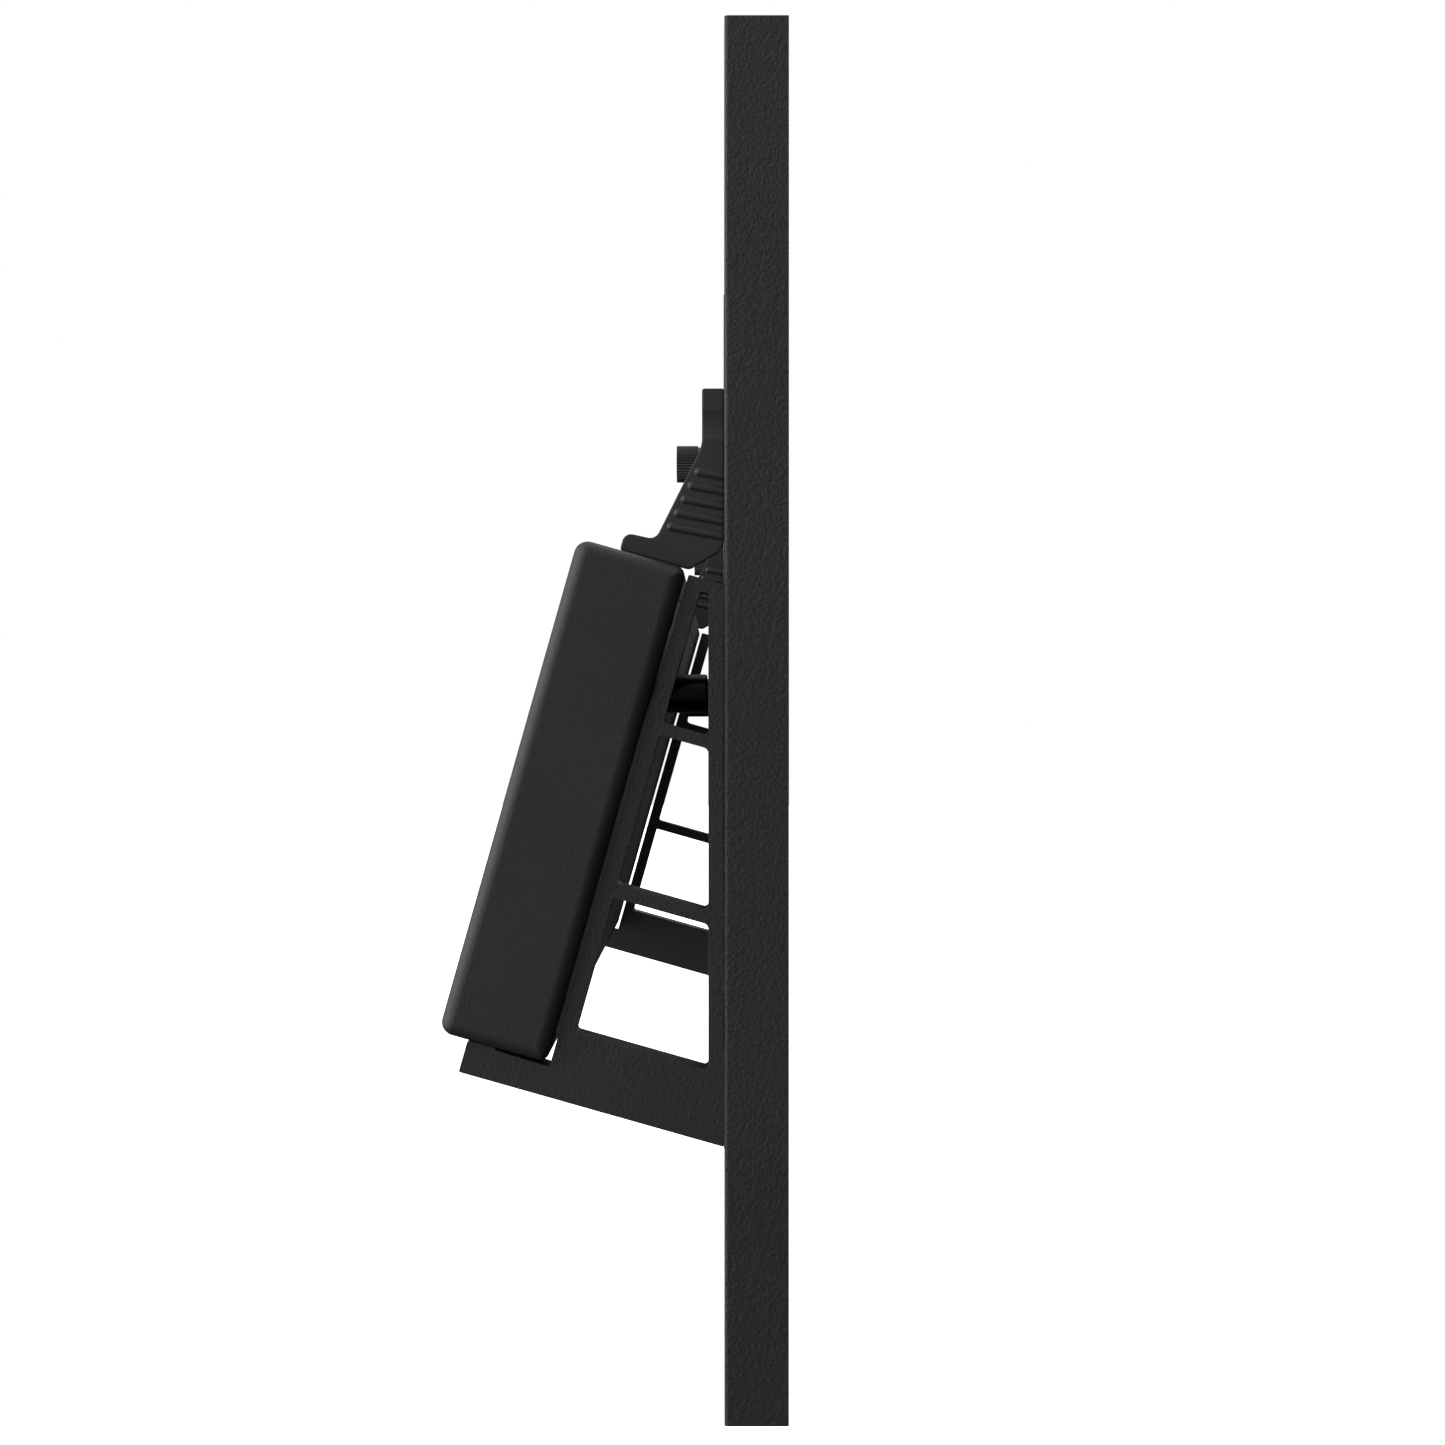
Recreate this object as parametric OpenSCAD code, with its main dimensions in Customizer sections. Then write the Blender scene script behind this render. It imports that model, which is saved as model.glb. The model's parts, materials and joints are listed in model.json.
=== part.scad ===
// Folding full motion wall mount with a leaning cradle and a slim device in it.
// X runs along the wall, Y points into the wall and Z is up, in millimetres.
// The origin is the centre of the wall plate's back face. Shapes are drawn with
// heights from the middle of the rails, and placed() moves them to the origin.

/* [Rails] */
// Height of each rail
rail_h = 440; // [440:1:480]
// Width of a rail's front web
rail_w = 30; // [30:0.5:34]
// Depth of a rail's side flanges
rail_d = 20.2; // [20.2:0.1:21]
// Distance between the two rails' centre lines
rail_pitch = 400; // [396:1:404]
// Sheet thickness of rails and plates
sheet = 2; // [1.8:0.1:2.2]
// Distance from the wall to the front face of the rails
web_front = 23; // [22.8:0.1:23.2]
// Sideways shift of the slots from a rail's centre line
slot_shift = -5; // [-5.5:0.1:-4.5]

/* [Wall plate and arms] */
// Width of the wall plate
plate_w = 120; // [100:1:130]
// Height of the wall plate
plate_h = 130; // [124:1:136]
// Height of the wall plate's centre above the rails' centre
plate_z = 125; // [125:0.5:130]
// Distance between the pivots of one arm
arm_len = 100; // [90:1:110]
// Height of an arm
arm_h = 28; // [26:0.5:29]
// Thickness of an arm
arm_t = 12; // [10:0.5:13]
// Radius of the pivot pins
pin_r = 5; // [5:0.1:5.2]

/* [Cradle] */
// Lean of the cradle from upright, in degrees
lean = 15.8; // [15:0.1:16.5]
// Thickness of a bracket
bracket_t = 11; // [10:0.1:11.5]
// Height of the device along its lean
device_h = 160.3; // [159:0.1:161]
// Thickness of the device
device_d = 35.2; // [34:0.1:36]
// Length of the device
device_l = 420; // [410:1:424]
// Radius of the device's edges
device_r = 4; // [3:0.1:5]
// Width of a clamp
clamp_w = 22; // [21:0.1:22.5]
// Height of the clamp screws above the rails' centre
clamp_z = 82.58; // [82:0.01:84]

/* [Hidden] */
$fn = 64;

gap = 0.1;                        // space between flat faces that slide
fit = 0.06;                       // radial play of a running fit
press = 0.02;                     // radial play of a seated part
bite = 1;                         // overlap of two solids joined into one
plate_t = 2.5;                    // wall plate thickness
pivot_y = -11;                    // depth of all upright pivots
barrel_r = 7.5;                   // radius of the arm ends
bush_r = 6;                       // outer radius of the bushes
flange_t = 0.4;                   // thickness of a bush flange
upper_z = 70;                     // underside of the arm that carries the head
lower_z = 103;                    // underside of the arm on the wall plate
lug_t = 4;                        // thickness of the wall plate's lugs
lug_gap = 0.5;
counter_r = 6.5;                  // recess for the head of the post
counter_d = 2.2;
hub_z = 30;                       // underside of the swivel hub
hub_r = 8;
tilt_z = -25;                     // height of the tilt axis
tilt_lock_r = 16;                 // distance from tilt axis to lock bolts
tilt_bolt_r = 3;
lock_bolt_r = 2.5;
m6_head_r = 5.77;                // half the width across corners of an M6 head or nut
ear_x = 26;                       // inner face of the swivel head's ears
ear_t = 3;
bar_h = 18;                       // height of a cross bar
bar_t = 5;                        // thickness of a cross bar
bar_back = -15.8;                 // rear face of the cross bars
bar_zs = [11, -61];               // centres of the upper and lower cross bars
bolt_y = -9;                      // depth of the bolts through the rails' flanges
bolt_dz = 12;
bend_r = 1.2;                     // outer bend radius of the rails
slot_r = 3.3;                     // half the width of the rails' slots
vesa_z = 200;                     // height of the screen screw holes
vesa_r = 4.25;
web_y = -web_front;
rail_x = rail_pitch / 2;
slot_xs = [rail_x + slot_shift, -rail_x + slot_shift];

// The cradle's seat corner, where the device's back and bottom planes meet
seat = [-78.48, -106.67];
seat_gap = 1.155;                 // bracket front edge to device back
lip_gap = 0.29;                   // lip top to device bottom
front_w = 4.95;                   // width of a bracket's leaning bar
back_w = 4.88;                    // width of a bracket's upright bar
lip_len = 25.75;                  // reach of the lip from the device's back plane
bracket_bottom = -10.63;
bracket_top = 158.77;
plate_dx = 6.7;                   // slot line to a bracket's inner face
foot_t = 3.4;                     // thickness of a bracket's foot
knob_z = 8.75;                    // height of the bracket knobs
knob_r = 6.215;
knob_front = -43.5;
shank_r = 2.9;                    // radius of the bracket knobs' shanks
screw_r = 2.5;                    // radius of the thumb screws' shanks
nut_back = -16.7;                 // rear face of the slot nuts
shank_back = -15.8;
rib_count = 5;                    // grip ribs on each side of a clamp
rib_h = 0.8;                      // how far a rib stands out
rib_r = 1.5;
rib_w = 1.9;
tab_top = 22.7;                   // a tab's top, above its screw's axis
tab_t = 7.04;                     // thickness of a clamp's tab, from the rail's front
clamp_gap = 0.02;                 // clamp to rail
wall = 2.5;                       // wall thickness of the device
cover_in = 9;                     // rim around the device's back cover
foot_low = -126;                  // lower end of a bracket's foot
foot_len = 150;                   // height of a bracket's foot

// A point of the leaning frame: a outward from the device's back, b up along it
function lean_pt(a, b) = [
    seat[0] - a * cos(lean) + b * sin(lean),
    seat[1] + a * sin(lean) + b * cos(lean)
];
// The point at height b of the leaning frame that lies at depth y
function lean_at(y, b) = lean_pt((seat[0] + b * sin(lean) - y) / cos(lean), b);
function unit(v) = v / norm(v);
function cross2(a, b) = a[0] * b[1] - a[1] * b[0];

// Moves a shape from heights over the rails' centre to the part's origin
module placed() {
    translate([0, 0, -plate_z]) children();
}

// Extrudes a (Y, Z) outline along X from x0 by w
module along_x(x0, w) {
    translate([x0, 0, 0]) rotate([90, 0, 90]) linear_extrude(w) children();
}

// A cylinder along X from x0 by w, through (y, z)
module rod_x(x0, w, y, z, r, sides = 64) {
    translate([x0, y, z]) rotate([0, 90, 0]) cylinder(h = w, r = r, $fn = sides);
}

// A cylinder along Y from y0 by w, through (x, z)
module rod_y(y0, w, x, z, r, sides = 64) {
    translate([x, y0, z]) rotate([-90, 0, 0]) cylinder(h = w, r = r, $fn = sides);
}

// A cylinder along Z at (x, pivot_y) between two heights
module rod_z(z0, z1, x, r, sides = 64) {
    translate([x, pivot_y, z0]) cylinder(h = z1 - z0, r = r, $fn = sides);
}

// A polygon, anticlockwise, with each corner rounded to its own radius
module rounded(points, radii) {
    n = len(points);
    corners = [for (i = [0:n - 1])
        let (p = points[i],
             u = unit(points[(i + n - 1) % n] - p),
             v = unit(points[(i + 1) % n] - p),
             half = acos(u * v) / 2)
        [p + u * radii[i] / tan(half), p + v * radii[i] / tan(half),
         p + unit(u + v) * radii[i] / sin(half), cross2(v, u)]];
    difference() {
        union() {
            polygon([for (c = corners) each [c[0], c[1]]]);
            for (i = [0:n - 1])
                if (corners[i][3] > 0)
                    translate(corners[i][2]) circle(r = radii[i]);
        }
        for (i = [0:n - 1])
            if (corners[i][3] < 0)
                translate(corners[i][2]) circle(r = radii[i]);
    }
}

// A slot along Z through the web, between two heights
module web_slot(x, z0, z1) {
    translate([x - slot_r, web_y - 1, z0 + slot_r]) cube([2 * slot_r, sheet + 2, z1 - z0 - 2 * slot_r]);
    for (z = [z0 + slot_r, z1 - slot_r])
        rod_y(web_y - 1, sheet + 2, x, z, slot_r);
}

// A slot along X through the wall plate, centred on (x, z)
module wall_slot(x, z) {
    slot_l = 22;
    r = 4;
    translate([x - slot_l / 2 + r, -plate_t - 1, z - r]) cube([slot_l - 2 * r, plate_t + 2, 2 * r]);
    for (s = [-1, 1])
        rod_y(-plate_t - 1, plate_t + 2, x + s * (slot_l / 2 - r), z, r);
}

// ---- Wall plate and arms ----

module wall_plate() {
    lower_lug = lower_z - lug_gap - lug_t;
    upper_lug = lower_z + arm_h + lug_gap;
    half = [plate_w / 2, plate_h / 2];
    color([0.13, 0.13, 0.14]) difference() {
        union() {
            translate([0, 0, plate_z]) rotate([90, 0, 0]) linear_extrude(plate_t)
                rounded([-half, [half[0], -half[1]], half, [-half[0], half[1]]], [8, 8, 8, 8]);
            for (z = [lower_lug, upper_lug]) {
                translate([-12, pivot_y, z]) cube([24, -pivot_y - bite, lug_t]);
                rod_z(z, z + lug_t, 0, 10);
            }
        }
        rod_z(lower_lug - 1, upper_lug + lug_t + 1, 0, pin_r + press);
        for (x = [-40, 40])
            for (z = [-50, 50])
                wall_slot(x, plate_z + z);
    }
}

module wall_pin() {
    color([0.3, 0.3, 0.31]) {
        rod_z(lower_z - lug_gap - lug_t + gap, lower_z + arm_h + lug_gap + lug_t, 0, pin_r);
        rod_z(lower_z + arm_h + lug_gap + lug_t, lower_z + arm_h + lug_gap + lug_t + 3, 0, barrel_r);
    }
}

// An arm: a rectangular tube between two barrels, without its bores
module arm_blank(z) {
    tube_wall = 2;
    difference() {
        union() {
            translate([0, pivot_y - arm_t / 2, z]) cube([arm_len, arm_t, arm_h]);
            for (x = [0, arm_len])
                rod_z(z, z + arm_h, x, barrel_r);
        }
        translate([barrel_r + 2, pivot_y - arm_t / 2 + tube_wall, z + tube_wall])
            cube([arm_len - 2 * barrel_r - 4, arm_t - 2 * tube_wall, arm_h - 2 * tube_wall]);
    }
}

module lower_arm() {
    color([0.13, 0.13, 0.14]) difference() {
        arm_blank(lower_z);
        rod_z(lower_z - 1, lower_z + arm_h + 1, 0, bush_r + press);
        rod_z(lower_z - 1, lower_z + arm_h + 1, arm_len, pin_r + press);
    }
}

module upper_arm() {
    top = upper_z + arm_h;
    color([0.13, 0.13, 0.14]) difference() {
        arm_blank(upper_z);
        rod_z(upper_z - 1, top + 1, 0, pin_r + press);
        rod_z(upper_z - 1, top + 1, arm_len, bush_r + press);
        rod_z(top - counter_d, top + 1, 0, counter_r);
    }
}

// A pair of flanged bushes pressed into a barrel from its two ends
module bush_pair(z, x) {
    difference() {
        union() {
            rod_z(z, z + arm_h / 2 - 1, x, bush_r);
            rod_z(z + arm_h / 2 + 1, z + arm_h, x, bush_r);
            rod_z(z - flange_t, z, x, barrel_r);
            rod_z(z + arm_h, z + arm_h + flange_t, x, barrel_r);
        }
        rod_z(z - 1, z + arm_h + 1, x, pin_r + fit);
    }
}

module lower_arm_bushes() {
    color([0.75, 0.75, 0.72]) bush_pair(lower_z, 0);
}

module upper_arm_bushes() {
    color([0.75, 0.75, 0.72]) bush_pair(upper_z, arm_len);
}

module elbow_pin() {
    top = lower_z + arm_h;
    color([0.3, 0.3, 0.31]) {
        rod_z(upper_z - 5, top, arm_len, pin_r);
        rod_z(top, top + 3, arm_len, barrel_r);
    }
}

// A ring nut on the end of a pivot pin, with its top at height z
module ring_nut(z, x) {
    difference() {
        rod_z(z - 4, z, x, barrel_r, 6);
        rod_z(z - 5, z + 1, x, pin_r + press);
    }
}

module elbow_nut() {
    color([0.3, 0.3, 0.31]) ring_nut(upper_z - flange_t - gap, arm_len);
}

module elbow_spacer() {
    low = upper_z + arm_h + flange_t + gap;
    high = lower_z - gap;
    color([0.75, 0.75, 0.72]) difference() {
        rod_z(low, high, arm_len, barrel_r);
        rod_z(low - 1, high + 1, arm_len, pin_r + fit);
    }
}

// ---- Head ----

module head_post() {
    head_z = upper_z + arm_h - counter_d + gap;
    color([0.3, 0.3, 0.31]) {
        rod_z(hub_z - 6, head_z, 0, pin_r);
        rod_z(head_z, head_z + 1.7, 0, counter_r - 0.3);
    }
}

module head_post_nut() {
    color([0.3, 0.3, 0.31]) ring_nut(hub_z - flange_t - gap, 0);
}

module head_bush() {
    top = upper_z - lug_gap - gap;
    color([0.75, 0.75, 0.72]) difference() {
        union() {
            rod_z(hub_z, top, 0, bush_r);
            rod_z(hub_z - flange_t, hub_z, 0, hub_r);
        }
        rod_z(hub_z - 1, top + 1, 0, pin_r + fit);
    }
}

module head_washer() {
    low = upper_z - lug_gap - gap;
    color([0.75, 0.75, 0.72]) difference() {
        rod_z(low, low + lug_gap, 0, hub_r);
        rod_z(low - 1, low + 2, 0, pin_r + fit);
    }
}

module swivel_head() {
    top = upper_z - lug_gap - gap;
    web_w = 2 * (ear_x + ear_t);
    web_low = -40;
    ear_low = -36;
    ear_high = -2;
    web_back = -3;
    ear_front = -18.5;
    web_high = 54;
    web_t = 2.6;
    nut_room = 9;                 // opening in the web beside the post's nut
    color([0.13, 0.13, 0.14]) difference() {
        union() {
            rod_z(hub_z, top, 0, hub_r);
            translate([0, web_back, 0]) rotate([90, 0, 0]) linear_extrude(web_t)
                rounded([[-web_w / 2, web_low], [web_w / 2, web_low], [web_w / 2, 8],
                         [12, web_high], [-12, web_high], [-web_w / 2, 8]], [3, 3, 6, 4, 4, 6]);
            for (s = [-1, 1])
                along_x(s * (ear_x + ear_t / 2) - ear_t / 2, ear_t)
                    rounded([[ear_front, ear_low], [web_back, ear_low],
                             [web_back, ear_high], [ear_front, ear_high]], [5, 0.5, 0.5, 5]);
        }
        rod_z(hub_z - 1, top + 1, 0, bush_r + press);
        rod_x(-40, 80, pivot_y, tilt_z, tilt_bolt_r + press);
        rod_x(-40, 80, pivot_y, tilt_z + tilt_lock_r, lock_bolt_r + press);
        translate([-nut_room, -nut_room, hub_z - nut_room]) cube([2 * nut_room, nut_room, nut_room]);
    }
}

// A bolt on each side of the head, along X through (pivot_y, z)
module ear_bolts(z, r, head_r, head_t) {
    outer = ear_x + ear_t + 0.6 + sheet + 0.3;
    for (s = [0, 180])
        translate([0, pivot_y, z]) rotate([s, 0, 0]) mirror([s / 180, 0, 0]) {
            rod_x(ear_x - 7, outer - ear_x + 7, 0, 0, r);
            rod_x(outer, head_t, 0, 0, head_r, 6);
        }
}

module ear_nuts(z, r, nut_r, nut_t) {
    for (s = [-1, 1])
        difference() {
            rod_x(s * (ear_x - nut_t / 2) - nut_t / 2, nut_t, pivot_y, z, nut_r, 6);
            rod_x(s * ear_x - 10, 20, pivot_y, z, r + press);
        }
}

module tilt_pivot_bolts() {
    color([0.3, 0.3, 0.31]) ear_bolts(tilt_z, tilt_bolt_r, m6_head_r, 4);
}

module tilt_pivot_nuts() {
    color([0.3, 0.3, 0.31]) ear_nuts(tilt_z, tilt_bolt_r, m6_head_r, 5);
}

module tilt_lock_bolts() {
    color([0.3, 0.3, 0.31]) ear_bolts(tilt_z + tilt_lock_r, lock_bolt_r, 4.6, 3.5);
}

module tilt_lock_nuts() {
    color([0.3, 0.3, 0.31]) ear_nuts(tilt_z + tilt_lock_r, lock_bolt_r, 4.6, 4);
}

// ---- Panel frame ----

module tilt_plate() {
    front = bar_back - bar_t - 0.05;
    ear_in = ear_x + ear_t + 0.6;
    slot_w = lock_bolt_r + 0.35;
    ear_low = -37;
    ear_back = -3.4;
    color([0.13, 0.13, 0.14]) difference() {
        union() {
            translate([0, front, 0]) rotate([90, 0, 0]) linear_extrude(sheet)
                rounded([[-60, -72], [60, -72], [60, 20.5], [-60, 20.5]], [6, 6, 6, 6]);
            for (s = [-1, 1])
                along_x(s * (ear_in + sheet / 2) - sheet / 2, sheet)
                    rounded([[front - sheet / 2, ear_low], [ear_back, ear_low],
                             [ear_back, 0], [front - sheet / 2, 0]], [0.2, 5, 5, 0.2]);
        }
        rod_x(-40, 80, pivot_y, tilt_z, tilt_bolt_r + fit);
        translate([-40, pivot_y, tilt_z]) rotate([90, 0, 90])
            rotate([0, 0, 73]) rotate_extrude(angle = 24)
                translate([tilt_lock_r - slot_w, 0]) square([2 * slot_w, 80]);
        for (a = [73, 97])
            rod_x(-40, 80, pivot_y + tilt_lock_r * cos(a), tilt_z + tilt_lock_r * sin(a), slot_w + 0.02);
        for (x = [-50, 50])
            for (z = bar_zs)
                rod_y(front - sheet - 1, sheet + 2, x, z, 2.5 + press);
        translate([0, front + 1, tilt_z]) rotate([90, 0, 0]) linear_extrude(sheet + 2)
            rounded([[-18, -20], [18, -20], [18, 20], [-18, 20]], [6, 6, 6, 6]);
    }
}

// A cross bar with an end tab against each rail's inner flange
module cross_bar(z) {
    tab_x = rail_x - rail_w / 2 - 0.05;
    tab_t = 3;
    tab_h = 20;
    color([0.13, 0.13, 0.14]) difference() {
        union() {
            translate([-tab_x, bar_back - bar_t, z - bar_h / 2]) cube([2 * tab_x, bar_t, bar_h]);
            for (s = [-1, 1])
                along_x(s * (tab_x - tab_t / 2) - tab_t / 2, tab_t)
                    rounded([[bar_back - bar_t, z - tab_h], [-4, z - tab_h],
                             [-4, z + tab_h], [bar_back - bar_t, z + tab_h]], [1, 4, 4, 1]);
        }
        for (dz = [-bolt_dz, bolt_dz])
            rod_x(-rail_x, 2 * rail_x, bolt_y, z + dz, 3 + press);
        for (x = [-50, 50])
            rod_y(bar_back - bar_t - 1, bar_t + 2, x, z, 2.5 + press);
    }
}

module upper_cross_bar() {
    cross_bar(bar_zs[0]);
}

module lower_cross_bar() {
    cross_bar(bar_zs[1]);
}

module tilt_plate_screws() {
    front = bar_back - bar_t - 0.05 - sheet;
    color([0.3, 0.3, 0.31])
        for (x = [-50, 50])
            for (z = bar_zs) {
                rod_y(front, bar_back - front, x, z, 2.5);
                rod_y(front - 2.2, 2.2, x, z, 4.5);
            }
}

// A rail of channel section, open to the wall, with its slots and screen holes
module rail(side) {
    x = side * rail_x;
    x0 = x - rail_w / 2;
    x1 = x + rail_w / 2;
    back = web_y + rail_d;
    slot_x = x + slot_shift;
    inner_r = 0.2;
    color([0.14, 0.14, 0.145]) difference() {
        translate([0, 0, -rail_h / 2]) linear_extrude(rail_h)
            rounded([[x0, web_y], [x1, web_y], [x1, back], [x1 - sheet, back],
                     [x1 - sheet, web_y + sheet], [x0 + sheet, web_y + sheet],
                     [x0 + sheet, back], [x0, back]],
                    [bend_r, bend_r, 0.3, 0.3, inner_r, inner_r, 0.3, 0.3]);
        web_slot(slot_x, 18, 130);
        web_slot(slot_x, -37, 13);
        web_slot(slot_x, -148, -84);
        for (z = [-vesa_z, vesa_z])
            rod_y(web_y - 1, sheet + 2, x, z, vesa_r);
        for (bar_z = bar_zs)
            for (dz = [-bolt_dz, bolt_dz])
                rod_x(x - side * rail_w / 2 - sheet - 1, 2 * sheet + 2, bolt_y, bar_z + dz, 3 + press);
    }
}

module rail_right() {
    rail(1);
}

module rail_left() {
    rail(-1);
}

// Repeats its children, drawn for the right rail, at each bolt of both rails
module at_rail_bolts() {
    for (s = [0, 1])
        mirror([s, 0, 0])
            for (bar_z = bar_zs)
                for (dz = [-bolt_dz, bolt_dz])
                    translate([rail_x - rail_w / 2, bolt_y, bar_z + dz]) children();
}

module rail_bolts() {
    color([0.3, 0.3, 0.31]) at_rail_bolts() {
        rod_x(-3.05, 11, 0, 0, 3);
        rod_x(-7.05, 4, 0, 0, m6_head_r, 6);
    }
}

module rail_nuts() {
    color([0.3, 0.3, 0.31]) at_rail_bolts() difference() {
        rod_x(sheet, 5, 0, 0, m6_head_r, 6);
        rod_x(sheet - 1, 7, 0, 0, 3 + press);
    }
}

// ---- Cradle ----

// A window of a bracket between two heights of the leaning frame
module window(b0, b1, radii) {
    y_in = web_y - gap - back_w;
    a_in = -seat_gap - front_w;
    rounded([lean_pt(a_in, b0), lean_at(y_in, b0), lean_at(y_in, b1), lean_pt(a_in, b1)], radii);
}

module bracket_outline() {
    back = web_y - gap;
    difference() {
        rounded([lean_pt(lip_len, bracket_bottom), lean_at(back, bracket_bottom),
                 lean_at(back, bracket_top), lean_pt(-seat_gap, bracket_top),
                 lean_pt(-seat_gap, -1.3), lean_pt(16.2, -0.9), lean_pt(17, -lip_gap),
                 lean_pt(lip_len, -lip_gap)],
                [0.5, 0.5, 0.6, 0.6, 0.6, 0.3, 0.3, 0.8]);
        window(11.16, 55.04, [1.0, 1.2, 1.9, 0.9]);
        window(59.46, 107.96, [1.0, 1.2, 1.9, 1.0]);
        window(112.06, 154.8, [1.8, 1.2, 1.1, 1.1]);
    }
}

// A cradle bracket: a leaning triangular frame on a foot against the rail
module bracket(slot_x) {
    foot_w = plate_dx + 7;
    foot_y = web_y - gap - foot_t;
    color([0.15, 0.15, 0.155]) difference() {
        union() {
            along_x(slot_x + plate_dx, bracket_t) bracket_outline();
            translate([slot_x - 7, foot_y, foot_low]) cube([foot_w + bite, foot_t, foot_len]);
            translate([slot_x - slot_r + 0.3, web_y - gap - bite, -104])
                cube([2 * slot_r - 0.6, bite + 1.7, 16]);
        }
        rod_y(foot_y - 1, foot_t + 2, slot_x, knob_z, shank_r + fit);
    }
}

module bracket_right() {
    bracket(slot_xs[0]);
}

module bracket_left() {
    bracket(slot_xs[1]);
}

// A square nut behind a rail's web, on the slot line at height z
module slot_nut(x, z, r, size) {
    front = web_y + sheet + 0.3;
    difference() {
        translate([x - size / 2, front, z - size / 2]) cube([size, nut_back - front, size]);
        rod_y(front - 1, nut_back - front + 2, x, z, r + fit);
    }
}

module bracket_slot_nuts() {
    color([0.3, 0.3, 0.31])
        for (x = slot_xs)
            slot_nut(x, knob_z, shank_r, 13);
}

// A glossy clamping knob with a hex socket in its end
module bracket_knob(x) {
    start = web_y - gap - foot_t - gap;
    base = -28.4;
    color([0.03, 0.03, 0.03]) difference() {
        union() {
            translate([x, 0, knob_z]) rotate([90, 0, 0]) rotate_extrude()
                rounded([[0, -base], [knob_r, -base], [knob_r, -knob_front], [0, -knob_front]],
                        [0.01, 0.6, 1, 0.01]);
            rod_y(base - 1, start - base + 1, x, knob_z, 4.8);
            rod_y(base, shank_back - base, x, knob_z, shank_r);
        }
        rod_y(knob_front - 1, 6, x, knob_z, 3, 6);
    }
}

module bracket_knob_right() {
    bracket_knob(slot_xs[0]);
}

module bracket_knob_left() {
    bracket_knob(slot_xs[1]);
}

// Draws its children in the device's own frame: X along it, Y to its back, Z up it
module in_device() {
    device_x = 7.5;
    translate([device_x, seat[0], seat[1]]) rotate([-lean, 0, 0]) children();
}

// The four places of the device's cover screws, on its back face
module at_cover_screws() {
    edge_x = device_l / 2 - cover_in - 8;
    edge_z = device_h / 2 - cover_in - 8;
    for (x = [-edge_x, edge_x])
        for (z = [-edge_z, edge_z])
            translate([x, 0, device_h / 2 + z]) children();
}

// A block with all edges rounded, centred on X, behind Y = 0 and standing on Z = 0
module round_block(size, r) {
    radii = [r, r, r, r];
    x = size[0] / 2;
    intersection() {
        translate([-x, 0, 0]) rotate([90, 0, 90]) linear_extrude(size[0])
            rounded([[-size[1], 0], [0, 0], [0, size[2]], [-size[1], size[2]]], radii);
        rotate([90, 0, 0]) linear_extrude(size[1])
            rounded([[-x, 0], [x, 0], [x, size[2]], [-x, size[2]]], radii);
        linear_extrude(size[2])
            rounded([[-x, -size[1]], [x, -size[1]], [x, 0], [-x, 0]], radii);
    }
}

module device_shell() {
    in_l = device_l - 2 * cover_in;
    in_h = device_h - 2 * cover_in;
    color([0.14, 0.14, 0.145]) in_device() difference() {
        round_block([device_l, device_d, device_h], device_r);
        difference() {
            translate([-device_l / 2 + wall, -device_d + wall, wall])
                cube([device_l - 2 * wall, device_d - 2 * wall, device_h - 2 * wall]);
            at_cover_screws() rotate([90, 0, 0]) cylinder(h = device_d, r = 4);
        }
        translate([-in_l / 2, -wall - 0.1, cover_in]) cube([in_l, wall + 1, in_h]);
        at_cover_screws() rotate([90, 0, 0]) translate([0, 0, -1]) cylinder(h = 16, r = 1.5 + press);
    }
}

module device_back_cover() {
    play = 0.15;
    in_l = device_l - 2 * cover_in - 2 * play;
    in_h = device_h - 2 * cover_in - 2 * play;
    color([0.12, 0.12, 0.125]) in_device() difference() {
        translate([-in_l / 2, -wall, cover_in + play]) cube([in_l, wall - 0.2, in_h]);
        at_cover_screws() rotate([90, 0, 0]) translate([0, 0, -1]) cylinder(h = wall + 2, r = 1.5 + press);
        at_cover_screws() rotate([90, 0, 0]) translate([0, 0, -1]) cylinder(h = 2.4, r = 3);
    }
}

module device_screws() {
    color([0.3, 0.3, 0.31]) in_device() at_cover_screws() rotate([90, 0, 0]) {
        translate([0, 0, 0.4]) cylinder(h = 1, r = 2.8);
        translate([0, 0, 0.4]) cylinder(h = 12, r = 1.5);
    }
}

// ---- Clamps ----

// A clamp's outline: u outward from the rail's front, v up from the screw axis
module clamp_outline() {
    points = [[clamp_gap, tab_top], [tab_t, tab_top], [tab_t, 4.4], [21.76, -25.09],
              [31.6, -22.9], [33.0, -28.4], [11.05, -34.5], [clamp_gap, -28.0]];
    radii = [0.8, 0.8, 12, 3.2, 2.9, 0.7, 3, 6];
    rounded([for (p = points) [web_y - p[0], clamp_z + p[1]]], radii);
}

// A round grip rib on the side face at x of a clamp, before its end is trimmed
module grip_rib(x, i) {
    slope = 10.5;
    end_u = 8.94 + 2.2 * i;
    low_v = -6.2 - 4.75 * i;
    reach = (end_u - rib_w / 2) / cos(slope);
    translate([x + rib_h - rib_r, web_y - clamp_gap, clamp_z + low_v + rib_w / 2])
        rotate([90 - slope, 0, 0]) {
            cylinder(h = reach, r = rib_r);
            translate([0, 0, reach]) sphere(r = rib_r);
        }
}

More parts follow.
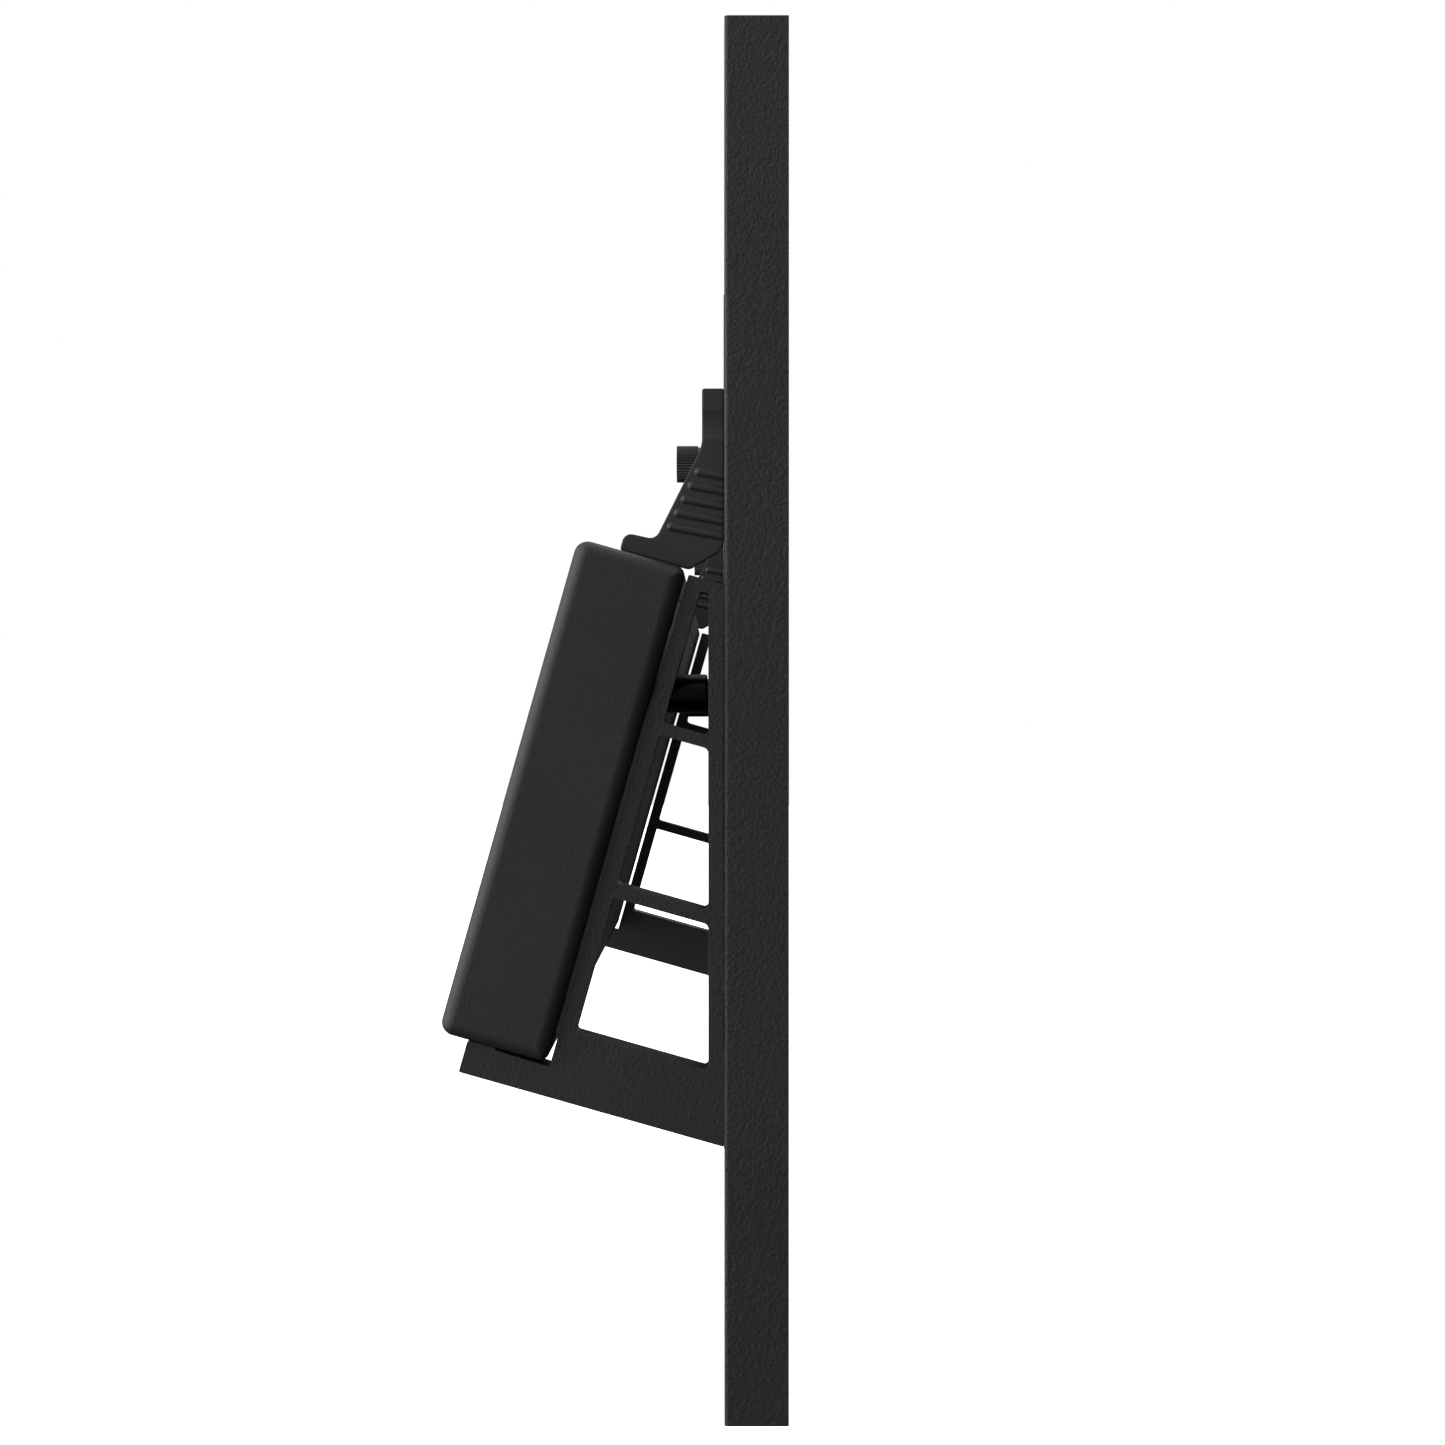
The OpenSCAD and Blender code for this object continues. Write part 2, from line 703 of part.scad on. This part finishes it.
// A clamp: a tab for its screw, and beside it a ribbed plate that hooks over the device
module clamp(x) {
    waist_r = 14;
    half = clamp_w / 2 - rib_h;
    plate_in = 6.2;
    tab_low = -14;
    color([0.15, 0.15, 0.155]) difference() {
        union() {
            along_x(x + plate_in, half - plate_in) clamp_outline();
            translate([x - half, web_y - tab_t, clamp_z + tab_low])
                cube([half + plate_in + bite, tab_t - clamp_gap, tab_top - tab_low]);
            intersection() {
                along_x(x + half - bite, 2 * bite) clamp_outline();
                union()
                    for (i = [0:rib_count - 1])
                        grip_rib(x + half, i);
            }
            translate([x - slot_r + 0.3, web_y - clamp_gap - bite, clamp_z - 12])
                cube([2 * slot_r - 0.6, bite + 1.9, 6]);
        }
        rod_y(web_y - tab_t - 1, 10, x, clamp_z, screw_r + fit);
        for (s = [-1, 1])
            rod_y(web_y - tab_t - 1, 10, x + s * (half + waist_r - 0.8), clamp_z + 11.4, waist_r);
    }
}

module clamp_right() {
    clamp(slot_xs[0]);
}

module clamp_left() {
    clamp(slot_xs[1]);
}

module clamp_slot_nut(x) {
    color([0.3, 0.3, 0.31]) slot_nut(x, clamp_z, screw_r, 11);
}

module clamp_slot_nut_right() {
    clamp_slot_nut(slot_xs[0]);
}

module clamp_slot_nut_left() {
    clamp_slot_nut(slot_xs[1]);
}

// A thumb screw with a knurled head
module thumb_screw(x) {
    head_y = -38.2;
    head_t = 6.8;
    seat_y = web_y - tab_t - gap;
    neck_r = 5.4;
    ridges = 40;
    high_r = 5.85;
    low_r = 5.5;
    color([0.08, 0.08, 0.085]) {
        translate([x, head_y + head_t, clamp_z]) rotate([90, 0, 0]) linear_extrude(head_t)
            polygon([for (i = [0:2 * ridges - 1])
                let (r = i % 2 == 0 ? high_r : low_r, a = i * 180 / ridges)
                [r * cos(a), r * sin(a)]]);
        rod_y(head_y + head_t - bite, seat_y - head_y - head_t + bite, x, clamp_z, neck_r);
        rod_y(seat_y - bite, shank_back - seat_y + bite, x, clamp_z, screw_r);
    }
}

module thumb_screw_right() {
    thumb_screw(slot_xs[0]);
}

module thumb_screw_left() {
    thumb_screw(slot_xs[1]);
}

placed() wall_plate();
placed() wall_pin();
placed() lower_arm();
placed() lower_arm_bushes();
placed() elbow_pin();
placed() elbow_nut();
placed() upper_arm();
placed() upper_arm_bushes();
placed() elbow_spacer();
placed() head_post();
placed() head_post_nut();
placed() swivel_head();
placed() head_bush();
placed() head_washer();
placed() tilt_pivot_bolts();
placed() tilt_pivot_nuts();
placed() tilt_lock_bolts();
placed() tilt_lock_nuts();
placed() tilt_plate();
placed() upper_cross_bar();
placed() lower_cross_bar();
placed() tilt_plate_screws();
placed() rail_right();
placed() rail_left();
placed() rail_bolts();
placed() rail_nuts();
placed() bracket_right();
placed() bracket_left();
placed() bracket_slot_nuts();
placed() device_shell();
placed() device_back_cover();
placed() device_screws();
placed() bracket_knob_right();
placed() bracket_knob_left();
placed() clamp_right();
placed() clamp_left();
placed() clamp_slot_nut_right();
placed() clamp_slot_nut_left();
placed() thumb_screw_right();
placed() thumb_screw_left();
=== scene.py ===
import json
import math

import bmesh
import bpy
from mathutils import Matrix, Vector


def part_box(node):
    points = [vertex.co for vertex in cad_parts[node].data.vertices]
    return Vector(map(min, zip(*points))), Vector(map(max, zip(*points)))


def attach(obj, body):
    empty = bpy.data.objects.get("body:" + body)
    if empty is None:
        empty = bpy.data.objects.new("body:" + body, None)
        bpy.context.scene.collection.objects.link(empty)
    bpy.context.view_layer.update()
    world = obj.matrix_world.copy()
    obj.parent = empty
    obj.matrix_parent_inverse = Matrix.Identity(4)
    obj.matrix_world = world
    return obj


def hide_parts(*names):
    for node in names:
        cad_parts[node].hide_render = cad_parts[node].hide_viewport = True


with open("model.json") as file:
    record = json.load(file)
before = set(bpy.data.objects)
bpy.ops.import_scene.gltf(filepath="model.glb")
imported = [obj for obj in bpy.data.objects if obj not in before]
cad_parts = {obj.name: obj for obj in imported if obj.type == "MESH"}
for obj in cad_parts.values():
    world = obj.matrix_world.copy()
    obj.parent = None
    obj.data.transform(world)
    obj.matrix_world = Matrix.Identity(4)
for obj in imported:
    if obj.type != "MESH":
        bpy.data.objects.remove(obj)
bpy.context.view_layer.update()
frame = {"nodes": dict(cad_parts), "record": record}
MM = 0.001
QUARTER_TURN = math.radians(90)

# The right-hand rail is the one nearest the camera
RAIL_LOW, RAIL_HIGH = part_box("rail_right")
MIDDLE_Z = (RAIL_LOW.z + RAIL_HIGH.z) / 2

# The device leans back in its cradle; its size is given along its own axes
LEAN = math.radians(15.8)
DEVICE_SIZE = Vector((420, 35.2, 160.3)) * MM
END_EDGE = 4.6 * MM                # rounding round each end
FRONT_CORNER = 4.4 * MM            # rounding of the long edges towards the room
BACK_CORNER = 2.7 * MM             # and of those towards the wall
LEAST_CORNER = 0.05 * MM           # what is left of a corner where the outline is drawn in furthest
CORNER_STEPS = 8                   # flat strips in a quarter turn
COVER_RIM = 9 * MM                 # width of case left round the back cover
COVER_DEPTH = 2.6 * MM             # depth of the recess that the cover lies in
RECESS_DRAFT = 0.01 * MM           # how much narrower the recess is at its floor
SHARP = math.radians(40)           # an edge at least this steep is shaded sharp

# Camera: square to the near rail's side. The shifts are from the rail's outer face, front and middle
SENSOR_WIDTH = 36                  # in millimetres, as Blender keeps it
FOCAL_LENGTH = 48.98               # likewise
CAMERA_REACH = 0.6129
CAMERA_SHIFT_Y = -0.00054
CAMERA_SHIFT_Z = -0.00052
CLIP_START = 0.05
CLIP_END = 50

# Soft lights round the object: the way each lies, its brightness and how tightly it is focused
LIGHTS = [
    ((0.12, -1.0, 0.2), 3.0, 4),       # large softbox in front, towards the room
    ((0.0, -0.2, 1.0), 1.1, 3),        # overhead
    ((1.0, -0.6, 0.2), 0.6, 2),        # weak fill from the camera's side
    ((-0.45, 0.65, 0.6), 3.5, 8),      # from behind and above, on the far side
]
AMBIENT = 0.04

FLOOR_HALF = 30
FLOOR_DROP = 1.3                   # from the middle of the rails down to the floor

# Most of a noise texture's values lie between these
NOISE_LOW = 0.3
NOISE_HIGH = 0.7
EDGE_SAMPLES = 6                   # rays that a worn edge's shading takes

# A thumb screw's ridges: the colour of the painted highlight on their crests, and how far in from the
# crests it fades out, which leaves the grooves darker as painted shade
CREST_HIGHLIGHT_COLOR = (0.045, 0.045, 0.047)
CREST_HIGHLIGHT_FADE = 0.3 * MM


# ---- Shader nodes ----

def feed(tree, source, socket):
    """Puts another node's output, or a fixed value, into a socket."""
    if isinstance(source, bpy.types.NodeSocket):
        tree.links.new(source, socket)
    else:
        socket.default_value = source


def maths(tree, kind, operation, *sources):
    """A Math or VectorMath node, its inputs fed in order."""
    node = tree.nodes.new("ShaderNode" + kind)
    node.operation = operation
    for source, socket in zip(sources, node.inputs):
        feed(tree, source, socket)
    return node


def mix(tree, kind, factor, first, second):
    """The output of a Mix node for colours (RGBA) or numbers (FLOAT)."""
    node = tree.nodes.new("ShaderNodeMix")
    node.data_type = kind
    feed(tree, factor, node.inputs["Factor"])
    feed(tree, first, node.inputs["A"])
    feed(tree, second, node.inputs["B"])
    return node.outputs["Result"]


def noise(tree, size, detail=2.0, rough=0.5, stretch=(1, 1, 1)):
    """The output of a noise texture in the object's own axes, its features about size metres across."""
    place = tree.nodes.new("ShaderNodeTexCoord")
    spread = tree.nodes.new("ShaderNodeMapping")
    spread.inputs["Scale"].default_value = stretch
    made = tree.nodes.new("ShaderNodeTexNoise")
    made.inputs["Scale"].default_value = 1 / size
    made.inputs["Detail"].default_value = detail
    made.inputs["Roughness"].default_value = rough
    tree.links.new(place.outputs["Object"], spread.inputs["Vector"])
    tree.links.new(spread.outputs["Vector"], made.inputs["Vector"])
    return made.outputs["Fac"]


def bump(tree, shader, layers, edge=0.0):
    """Stacks bumps on the shader, each (texture output, depth in metres), over edges worn round by edge."""
    below = None
    if edge:
        worn = tree.nodes.new("ShaderNodeBevel")
        worn.samples = EDGE_SAMPLES
        worn.inputs["Radius"].default_value = edge
        below = worn.outputs["Normal"]
    for height, depth in layers:
        node = tree.nodes.new("ShaderNodeBump")
        node.inputs["Strength"].default_value = 1.0
        node.inputs["Distance"].default_value = depth
        tree.links.new(height, node.inputs["Height"])
        if below is not None:
            tree.links.new(below, node.inputs["Normal"])
        below = node.outputs["Normal"]
    tree.links.new(below, shader.inputs["Normal"])


def vary(tree, source, low, high, target):
    """Maps a noise texture to low..high on a shader input."""
    node = tree.nodes.new("ShaderNodeMapRange")
    node.inputs["From Min"].default_value = NOISE_LOW
    node.inputs["From Max"].default_value = NOISE_HIGH
    node.inputs["To Min"].default_value = low
    node.inputs["To Max"].default_value = high
    tree.links.new(source, node.inputs["Value"])
    tree.links.new(node.outputs["Result"], target)


def tint(tree, source, dark, light, target):
    """Mixes two colours by a noise texture."""
    node = tree.nodes.new("ShaderNodeValToRGB")
    start, end = node.color_ramp.elements
    start.position, end.position = NOISE_LOW, NOISE_HIGH
    start.color, end.color = (*dark, 1), (*light, 1)
    tree.links.new(source, node.inputs["Fac"])
    tree.links.new(node.outputs["Color"], target)


# ---- Materials ----

def new_material(name, color, roughness, specular=0.5, metallic=0.0):
    """A material with a Principled shader, and the shader node itself."""
    made = bpy.data.materials.new(name)
    made.use_nodes = True
    shader = made.node_tree.nodes["Principled BSDF"]
    shader.inputs["Base Color"].default_value = (*color, 1)
    shader.inputs["Roughness"].default_value = roughness
    shader.inputs["Specular IOR Level"].default_value = specular
    shader.inputs["Metallic"].default_value = metallic
    return made, shader


def scaled(color, share):
    """A colour made darker or lighter."""
    return tuple(c * share for c in color)


def powder_coat(name, color, grain, depth, edge, roughness=0.46, specular=0.4):
    """Black powder coat: orange peel with a finer grain on it, glossier and duller in wide clouds."""
    made, shader = new_material(name, color, roughness, specular)
    tree = made.node_tree
    peel = noise(tree, grain, rough=0.6)
    fine = noise(tree, grain / 3)
    cloud = noise(tree, 50 * MM, detail=3.0)
    bump(tree, shader, [(peel, depth), (fine, depth / 4)], edge)
    vary(tree, fine, roughness - 0.06, roughness + 0.08, shader.inputs["Roughness"])
    tint(tree, peel, scaled(color, 0.8), scaled(color, 1.2), shader.inputs["Base Color"])
    vary(tree, cloud, specular - 0.03, specular + 0.03, shader.inputs["Specular IOR Level"])
    return made


def moulded(name, color, grain, depth, roughness, specular=0.35, edge=0.0):
    """Moulded plastic: a fine spark-eroded grain and faint flow clouds."""
    made, shader = new_material(name, color, roughness, specular)
    tree = made.node_tree
    fine = noise(tree, grain, detail=3.0, rough=0.6)
    cloud = noise(tree, 30 * MM)
    bump(tree, shader, [(fine, depth)], edge)
    vary(tree, cloud, roughness - 0.03, roughness + 0.04, shader.inputs["Roughness"])
    tint(tree, cloud, scaled(color, 0.93), scaled(color, 1.07), shader.inputs["Base Color"])
    return made


def steel(name, color, grain, depth, roughness, metallic=1.0):
    """Plated, blackened or ground steel with fine upright marks."""
    made, shader = new_material(name, color, roughness, metallic=metallic)
    tree = made.node_tree
    marks = noise(tree, grain, detail=3.0, rough=0.6, stretch=(1, 1, 0.25))
    cloud = noise(tree, 4 * MM, detail=3.0)
    bump(tree, shader, [(marks, depth)])
    vary(tree, cloud, roughness - 0.06, roughness + 0.1, shader.inputs["Roughness"])
    tint(tree, cloud, scaled(color, 0.85), scaled(color, 1.1), shader.inputs["Base Color"])
    return made


# What makes the material of each slot in the record, its colour, and its other measures
FINISHES = {
    "powder_coat": (powder_coat, (0.0135, 0.0135, 0.014),
                    {"grain": 1.1 * MM, "depth": 0.4 * MM, "edge": 0.3 * MM}),
    "bracket_coat": (powder_coat, (0.0145, 0.0145, 0.015),
                     {"grain": 0.9 * MM, "depth": 0.3 * MM, "edge": 0.35 * MM}),
    "device_plastic": (moulded, (0.015, 0.015, 0.0155),
                       {"grain": 0.7 * MM, "depth": 0.2 * MM, "roughness": 0.42, "specular": 0.4}),
    "device_cover_plastic": (moulded, (0.011, 0.011, 0.0115),
                             {"grain": 0.5 * MM, "depth": 0.02 * MM, "roughness": 0.5}),
    "clamp_plastic": (moulded, (0.0165, 0.0165, 0.017),
                      {"grain": 0.4 * MM, "depth": 0.006 * MM, "roughness": 0.36, "specular": 0.45,
                       "edge": 0.9 * MM}),
    "gloss_knob": (moulded, (0.0015, 0.0015, 0.0015),
                   {"grain": 1.5 * MM, "depth": 0.002 * MM, "roughness": 0.22, "specular": 0.09}),
    "black_steel": (steel, (0.03, 0.03, 0.032),
                    {"grain": 0.25 * MM, "depth": 0.004 * MM, "roughness": 0.38, "metallic": 0.6}),
    "thumb_black": (moulded, (0.009, 0.009, 0.0095),
                    {"grain": 0.3 * MM, "depth": 0.004 * MM, "roughness": 0.3, "specular": 0.5}),
    "zinc_steel": (steel, (0.55, 0.55, 0.56),
                   {"grain": 0.3 * MM, "depth": 0.004 * MM, "roughness": 0.34}),
    "pin_steel": (steel, (0.42, 0.42, 0.44),
                  {"grain": 0.2 * MM, "depth": 0.003 * MM, "roughness": 0.28}),
    "nylon": (moulded, (0.62, 0.61, 0.57),
              {"grain": 0.4 * MM, "depth": 0.006 * MM, "roughness": 0.5, "specular": 0.4}),
}


def knurled(base, node):
    """A copy of a material for one thumb screw, with a painted highlight lighter towards the crests of its
    ridges, which leaves the grooves darker as painted shade.
    """
    low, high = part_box(node)
    middle = (low + high) / 2
    crest = (high.x - low.x) / 2
    made = base.copy()
    made.name = "knurled_" + node
    tree = made.node_tree
    target = tree.nodes["Principled BSDF"].inputs["Base Color"]
    place = tree.nodes.new("ShaderNodeTexCoord")
    offset = maths(tree, "VectorMath", "SUBTRACT", place.outputs["Object"], middle)
    across = maths(tree, "VectorMath", "MULTIPLY", offset.outputs["Vector"], (1, 0, 1))
    radius = maths(tree, "VectorMath", "LENGTH", across.outputs["Vector"])
    # Painted highlight: the base colour turns to the crest colour over the last stretch of radius out to
    # the crests
    crest_highlight = tree.nodes.new("ShaderNodeMapRange")
    crest_highlight.inputs["From Min"].default_value = crest - CREST_HIGHLIGHT_FADE
    crest_highlight.inputs["From Max"].default_value = crest
    tree.links.new(radius.outputs["Value"], crest_highlight.inputs["Value"])
    color = mix(tree, "RGBA", crest_highlight.outputs["Result"], target.links[0].from_socket, (*CREST_HIGHLIGHT_COLOR, 1))
    tree.links.new(color, target)
    return made


def dress(obj, material):
    """Makes a material the object's only one."""
    obj.data.materials.clear()
    obj.data.materials.append(material)


def dress_nodes(slots):
    """Gives each CAD node the material of its slot in the record."""
    node_slot = {s["node"]: s["material_slot"] for s in frame["record"]["subparts"]}
    for name, obj in frame["nodes"].items():
        material = slots[node_slot[name]]
        if name.startswith("thumb_screw"):
            material = knurled(material, name)
        dress(obj, material)


# ---- The held device ----

def device_ring(inset):
    """The device's outline in its own Y and Z, drawn in by inset, with rounded corners."""
    ring = []
    half_y, half_z = DEVICE_SIZE.y / 2 - inset, DEVICE_SIZE.z / 2 - inset
    for corner, (side_y, side_z) in enumerate(((1, 1), (-1, 1), (-1, -1), (1, -1))):
        radius = max((BACK_CORNER if side_y > 0 else FRONT_CORNER) - inset, LEAST_CORNER)
        for step in range(CORNER_STEPS + 1):
            turn = QUARTER_TURN * (corner + step / CORNER_STEPS)
            ring.append((side_y * (half_y - radius) + radius * math.cos(turn),
                         side_z * (half_z - radius) + radius * math.sin(turn)))
    return ring


def device_stations():
    """Where the outlines stand along X, and how far each is drawn in, with the ends rounded."""
    turns = [QUARTER_TURN * (1 - i / CORNER_STEPS) for i in range(CORNER_STEPS + 1)]
    ends = [(END_EDGE * (1 - math.sin(a)), END_EDGE * (1 - math.cos(a))) for a in turns]
    stations = [(-DEVICE_SIZE.x / 2 + far, inset) for far, inset in ends]
    return stations + [(-x, inset) for x, inset in reversed(stations)]


def sink_cover(bm):
    """Sinks a recess for the back cover into the largest face towards the wall."""
    back = max(bm.faces, key=lambda f: (round(f.calc_center_median().y, 5), f.calc_area()))
    bmesh.ops.inset_region(bm, faces=[back], thickness=COVER_RIM - END_EDGE)
    for v in back.verts:
        v.co.x = math.copysign(DEVICE_SIZE.x / 2 - COVER_RIM, v.co.x)
        v.co.z = math.copysign(DEVICE_SIZE.z / 2 - COVER_RIM, v.co.z)
    bmesh.ops.inset_region(bm, faces=[back], thickness=RECESS_DRAFT, depth=-COVER_DEPTH)


def device_mesh():
    """The device's case in its own axes, centred."""
    bm = bmesh.new()
    rings = [[bm.verts.new((x, y, z)) for y, z in device_ring(inset)] for x, inset in device_stations()]
    count = len(rings[0])
    for near, far in zip(rings, rings[1:]):
        for k in range(count):
            bm.faces.new((near[k], near[(k + 1) % count], far[(k + 1) % count], far[k]))
    bm.faces.new(rings[0])
    bm.faces.new(rings[-1])
    bmesh.ops.recalc_face_normals(bm, faces=bm.faces)
    for face in bm.faces:
        face.smooth = True
    sink_cover(bm)
    for edge in bm.edges:
        edge.smooth = edge.calc_face_angle(0) < SHARP
    mesh = bpy.data.meshes.new("device_case")
    bm.to_mesh(mesh)
    bm.free()
    return mesh


def add_device(material):
    """Puts the case, leaning, where the CAD's plain one is."""
    low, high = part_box("device_shell")
    mesh = device_mesh()
    mesh.transform(Matrix.Translation((low + high) / 2) @ Matrix.Rotation(-LEAN, 4, "X"))
    case = bpy.data.objects.new("device_case", mesh)
    bpy.context.scene.collection.objects.link(case)
    normals = case.modifiers.new("normals", "WEIGHTED_NORMAL")
    normals.keep_sharp = True
    dress(case, material)
    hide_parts("device_shell")
    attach(case, "cradle")


# ---- Camera, light and floor ----

def add_camera():
    """A camera looking along -X at the near rail's side."""
    camera = bpy.data.objects.new("camera", bpy.data.cameras.new("camera"))
    bpy.context.scene.collection.objects.link(camera)
    camera.data.sensor_width = SENSOR_WIDTH
    camera.data.lens = FOCAL_LENGTH
    camera.data.clip_start = CLIP_START
    camera.data.clip_end = CLIP_END
    camera.location = (RAIL_HIGH.x + CAMERA_REACH, RAIL_LOW.y + CAMERA_SHIFT_Y, MIDDLE_Z + CAMERA_SHIFT_Z)
    camera.rotation_euler = (QUARTER_TURN, 0, QUARTER_TURN)
    bpy.context.scene.camera = camera


def add_world():
    """A studio of soft lights, with a white background where the camera looks past the object."""
    world = bpy.data.worlds.new("studio")
    bpy.context.scene.world = world
    world.use_nodes = True
    tree = world.node_tree
    background = tree.nodes["Background"]
    background.inputs["Color"].default_value = (1, 1, 1, 1)
    way_out = tree.nodes.new("ShaderNodeTexCoord").outputs["Generated"]
    total = AMBIENT
    for way, brightness, focus in LIGHTS:
        toward = maths(tree, "VectorMath", "DOT_PRODUCT", way_out, Vector(way).normalized())
        facing = maths(tree, "Math", "MAXIMUM", toward.outputs["Value"], 0)
        lobe = maths(tree, "Math", "POWER", facing.outputs["Value"], focus)
        sum_so_far = maths(tree, "Math", "MULTIPLY_ADD", lobe.outputs["Value"], brightness, total)
        total = sum_so_far.outputs["Value"]
    seen_straight = tree.nodes.new("ShaderNodeLightPath").outputs["Is Camera Ray"]
    tree.links.new(mix(tree, "FLOAT", seen_straight, total, 1.0), background.inputs["Strength"])


def add_floor():
    """A plain white floor far below, which lights and shades nothing."""
    z = MIDDLE_Z - FLOOR_DROP
    corners = [(-FLOOR_HALF, -FLOOR_HALF, z), (FLOOR_HALF, -FLOOR_HALF, z),
               (FLOOR_HALF, FLOOR_HALF, z), (-FLOOR_HALF, FLOOR_HALF, z)]
    mesh = bpy.data.meshes.new("floor")
    mesh.from_pydata(corners, [], [(0, 1, 2, 3)])
    floor = bpy.data.objects.new("floor", mesh)
    bpy.context.scene.collection.objects.link(floor)
    made, shader = new_material("floor", (0.92, 0.92, 0.92), 0.7, 0.2)
    cloud = noise(made.node_tree, 0.5, detail=3.0)
    tint(made.node_tree, cloud, (0.91, 0.91, 0.91), (0.93, 0.93, 0.93), shader.inputs["Base Color"])
    shader.inputs["Emission Color"].default_value = (1, 1, 1, 1)
    shader.inputs["Emission Strength"].default_value = 1.0
    dress(floor, made)
    floor.visible_diffuse = False
    floor.visible_glossy = False
    floor.visible_shadow = False


add_camera()
add_world()
add_floor()
bpy.context.scene.view_settings.view_transform = "Standard"

finishes = {name: make(name, color, **measures) for name, (make, color, measures) in FINISHES.items()}
dress_nodes(finishes)
add_device(finishes["device_plastic"])
